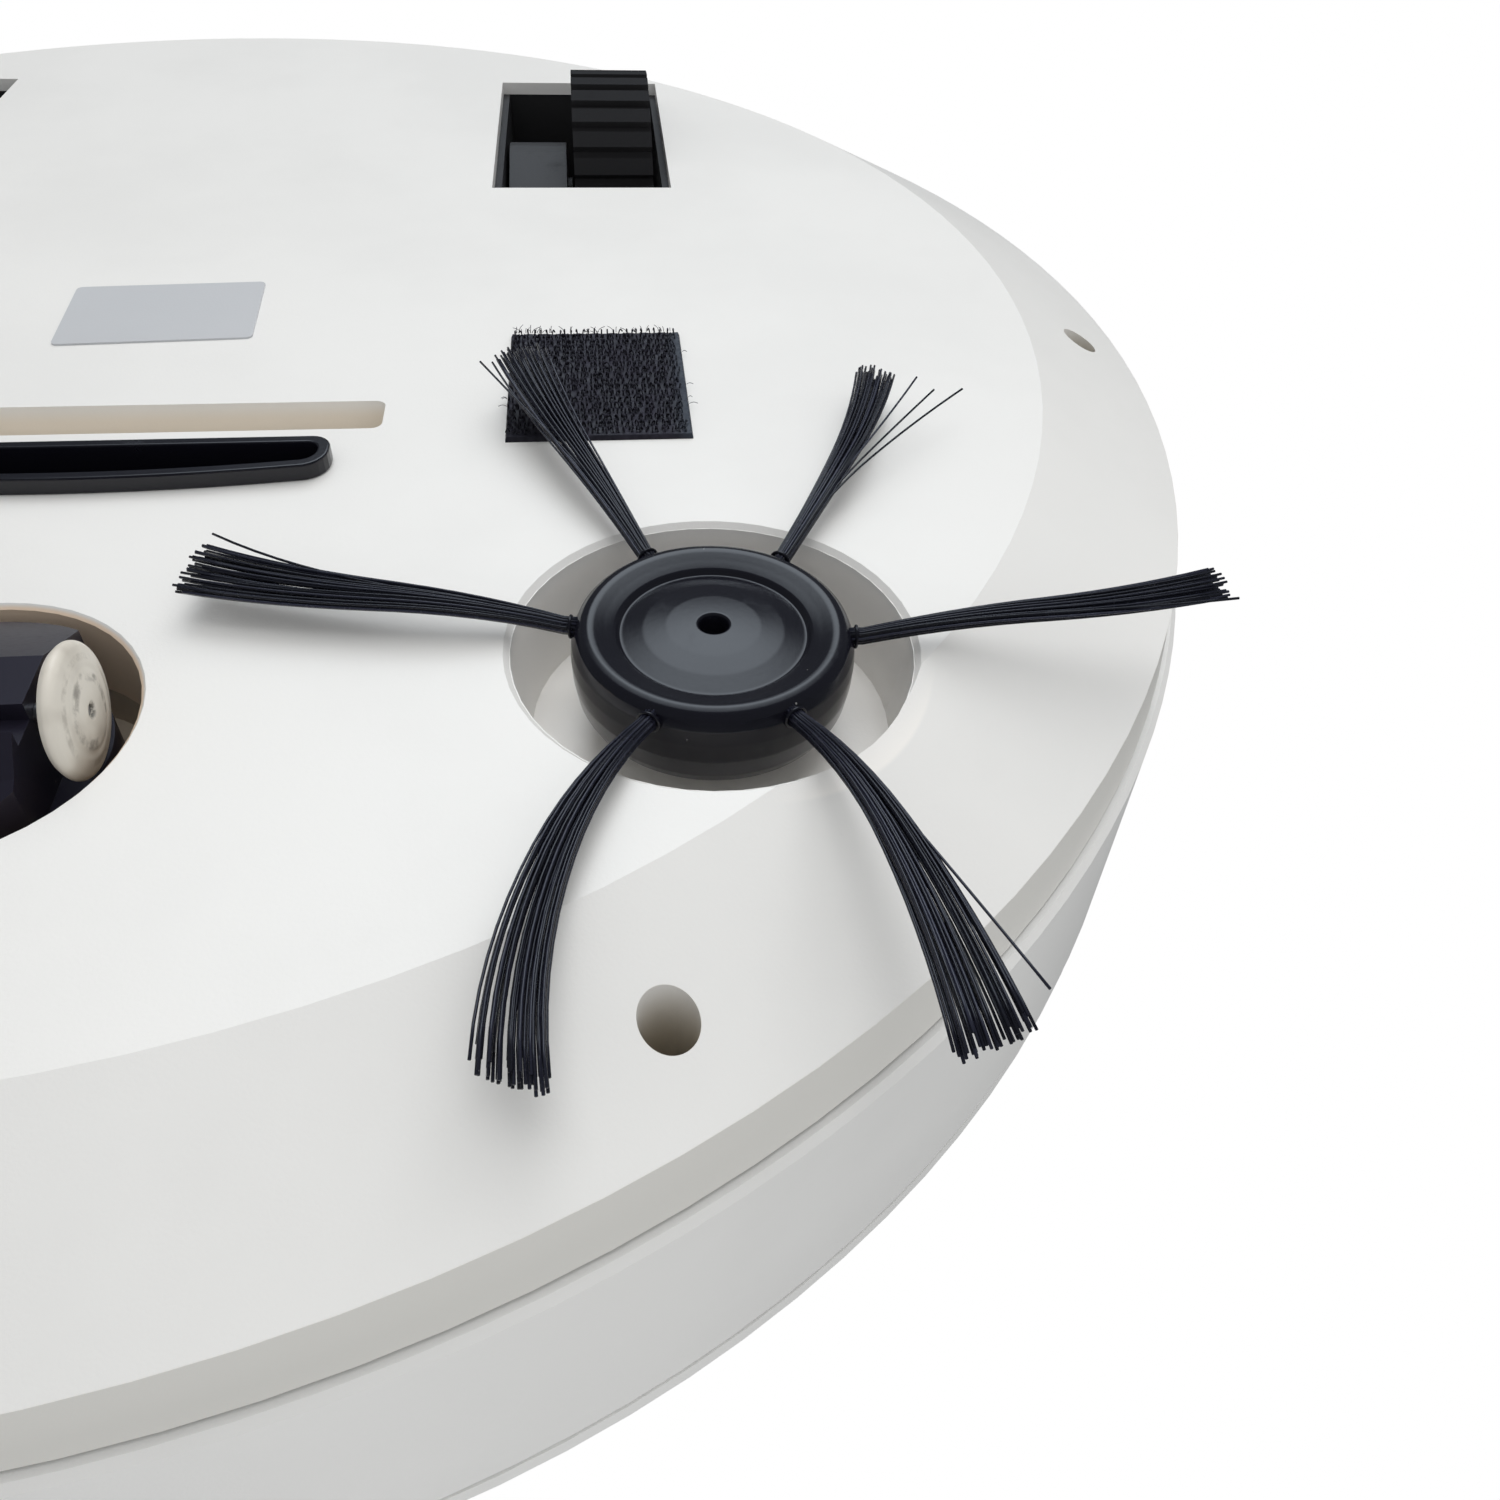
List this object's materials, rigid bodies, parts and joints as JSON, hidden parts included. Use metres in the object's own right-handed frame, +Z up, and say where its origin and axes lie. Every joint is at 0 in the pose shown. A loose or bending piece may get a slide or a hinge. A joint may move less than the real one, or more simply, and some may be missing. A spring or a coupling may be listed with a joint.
{
  "type": "robot vacuum",
  "caption": "Round white robot vacuum: front bumper, six-arm side brushes, suction mouth, twin-roller caster, sprung drive wheels and a dust bin that slides out of the back",
  "frame": {"origin": "on the floor under the centre of the body", "axes": "+Z up, front with the bumper toward -Y, the robot's right side toward -X"},
  "size_m": [0.34, 0.34, 0.08],
  "materials": {
    "white_shell": "satin white moulded plastic",
    "white_band": "satin white moulded plastic",
    "black_gloss": "glossy near-black moulded plastic",
    "dark_plastic": "fine matt dark grey plastic",
    "bristle": "black nylon filament",
    "hook_fabric": "black woven hook tape",
    "label_film": "bare silver-grey film",
    "beige_plastic": "beige moulded plastic",
    "cell_wrap": "blue heat-shrink wrap",
    "board_green": "green circuit board",
    "steel": "bright zinc-plated steel",
    "aluminium": "pressed aluminium",
    "brass": "turned brass",
    "ivory_plastic": "ivory acetal",
    "milky_plastic": "milky white acetal with dust on it",
    "smoked_plastic": "dark smoked plastic",
    "grey_plastic": "grey moulded plastic",
    "wheel_rubber": "black moulded rubber",
    "button_plastic": "satin light grey plastic"
  },
  "bodies": {
    "chassis": {"bottom_cover": "white_shell", "top_cover": "white_shell", "rear_band": "white_band", "mouth_rim": "black_gloss", "suction_duct": "dark_plastic", "right_hook_patch": "hook_fabric", "left_hook_patch": "hook_fabric", "bare_label": "label_film", "caster_cup": "beige_plastic", "battery_tray": "dark_plastic", "battery_cells": "cell_wrap", "main_board": "board_green", "board_parts": "dark_plastic", "fan_housing": "dark_plastic", "fan_cover": "dark_plastic", "fan_motor": "steel", "exhaust_duct": "dark_plastic", "right_gear_plate": "dark_plastic", "left_gear_plate": "dark_plastic", "right_brush_motor": "steel", "left_brush_motor": "steel", "right_drive_frame": "dark_plastic", "left_drive_frame": "dark_plastic", "right_pivot_pin": "steel", "left_pivot_pin": "steel", "cover_screws": "steel", "bump_sensors": "dark_plastic", "charge_jack": "dark_plastic", "button_board": "board_green"},
    "bumper_body": {"bumper": "white_band", "bumper_springs": "steel"},
    "right_brush": {"right_brush_hub": "black_gloss", "right_brush_tufts": "bristle", "right_brush_screw": "steel", "right_brush_gear": "ivory_plastic"},
    "left_brush": {"left_brush_hub": "black_gloss", "left_brush_tufts": "bristle", "left_brush_screw": "steel", "left_brush_gear": "ivory_plastic"},
    "right_brush_pinion": {"right_pinion": "brass"},
    "left_brush_pinion": {"left_pinion": "brass"},
    "caster": {"caster_turret": "black_gloss", "caster_axle": "steel", "caster_clip": "steel"},
    "right_caster_roller": {"right_roller": "milky_plastic"},
    "left_caster_roller": {"left_roller": "milky_plastic"},
    "right_arm": {"right_drive_arm": "dark_plastic", "right_drive_motor": "steel", "right_drive_spring": "steel"},
    "left_arm": {"left_drive_arm": "dark_plastic", "left_drive_motor": "steel", "left_drive_spring": "steel"},
    "right_wheel": {"right_wheel_hub": "grey_plastic", "right_tyre": "wheel_rubber"},
    "left_wheel": {"left_wheel_hub": "grey_plastic", "left_tyre": "wheel_rubber"},
    "bin": {"dust_bin": "smoked_plastic", "bin_lid": "dark_plastic"},
    "impeller": {"fan_impeller": "aluminium"},
    "button": {"power_button": "button_plastic"}
  },
  "joints": [
    {"name": "bumper_push", "type": "slide", "parent": "chassis", "child": "bumper_body", "axis": [0, 1, 0], "range_m": [0, 0.003], "stiffness_N_per_m": 300, "springref_m": -0.002, "deforming": ["bumper_springs"]},
    {"name": "right_brush_spin", "type": "hinge", "parent": "chassis", "child": "right_brush", "pos_m": [-0.08451, -0.0893, 0.02], "axis": [0, 0, 1], "continuous": true},
    {"name": "right_pinion_spin", "type": "hinge", "parent": "chassis", "child": "right_brush_pinion", "pos_m": [-0.09491, -0.07129, 0.033], "axis": [0, 0, 1], "continuous": true},
    {"name": "right_arm_swing", "type": "hinge", "parent": "chassis", "child": "right_arm", "pos_m": [-0.0612, 0.044, 0.03], "axis": [1, 0, 0], "range_deg": [-25, 0], "stiffness_Nm_per_rad": 0.1, "springref_deg": -68.75, "deforming": ["right_drive_spring"]},
    {"name": "right_wheel_spin", "type": "hinge", "parent": "right_arm", "child": "right_wheel", "pos_m": [-0.077, 0.083, 0.026], "axis": [1, 0, 0], "continuous": true},
    {"name": "right_roller_spin", "type": "hinge", "parent": "caster", "child": "right_caster_roller", "pos_m": [-0.016, -0.1006, 0.0075], "axis": [1, 0, 0], "continuous": true},
    {"name": "left_brush_spin", "type": "hinge", "parent": "chassis", "child": "left_brush", "pos_m": [0.08451, -0.0893, 0.02], "axis": [0, 0, 1], "continuous": true},
    {"name": "left_pinion_spin", "type": "hinge", "parent": "chassis", "child": "left_brush_pinion", "pos_m": [0.09491, -0.07129, 0.033], "axis": [0, 0, 1], "continuous": true},
    {"name": "left_arm_swing", "type": "hinge", "parent": "chassis", "child": "left_arm", "pos_m": [0.0612, 0.044, 0.03], "axis": [1, 0, 0], "range_deg": [-25, 0], "stiffness_Nm_per_rad": 0.1, "springref_deg": -68.75, "deforming": ["left_drive_spring"]},
    {"name": "left_wheel_spin", "type": "hinge", "parent": "left_arm", "child": "left_wheel", "pos_m": [0.077, 0.083, 0.026], "axis": [1, 0, 0], "continuous": true},
    {"name": "left_roller_spin", "type": "hinge", "parent": "caster", "child": "left_caster_roller", "pos_m": [0.016, -0.1006, 0.0075], "axis": [1, 0, 0], "continuous": true},
    {"name": "caster_swivel", "type": "hinge", "parent": "chassis", "child": "caster", "pos_m": [0, -0.0982, 0.022], "axis": [0, 0, 1], "continuous": true},
    {"name": "bin_slide", "type": "slide", "parent": "chassis", "child": "bin", "axis": [0, 1, 0], "range_m": [0, 0.11]},
    {"name": "fan_spin", "type": "hinge", "parent": "chassis", "child": "impeller", "pos_m": [0.028, 0.018, 0.0401], "axis": [0, 1, 0], "continuous": true},
    {"name": "power_press", "type": "slide", "parent": "chassis", "child": "button", "axis": [0, 0, -1], "range_m": [0, 0.0012], "stiffness_N_per_m": 600, "springref_m": -0.0008}
  ],
  "couplings": [
    {"joint": "right_pinion_spin", "follows": "right_brush_spin", "ratio": -2.25},
    {"joint": "left_pinion_spin", "follows": "left_brush_spin", "ratio": -2.25}
  ]
}
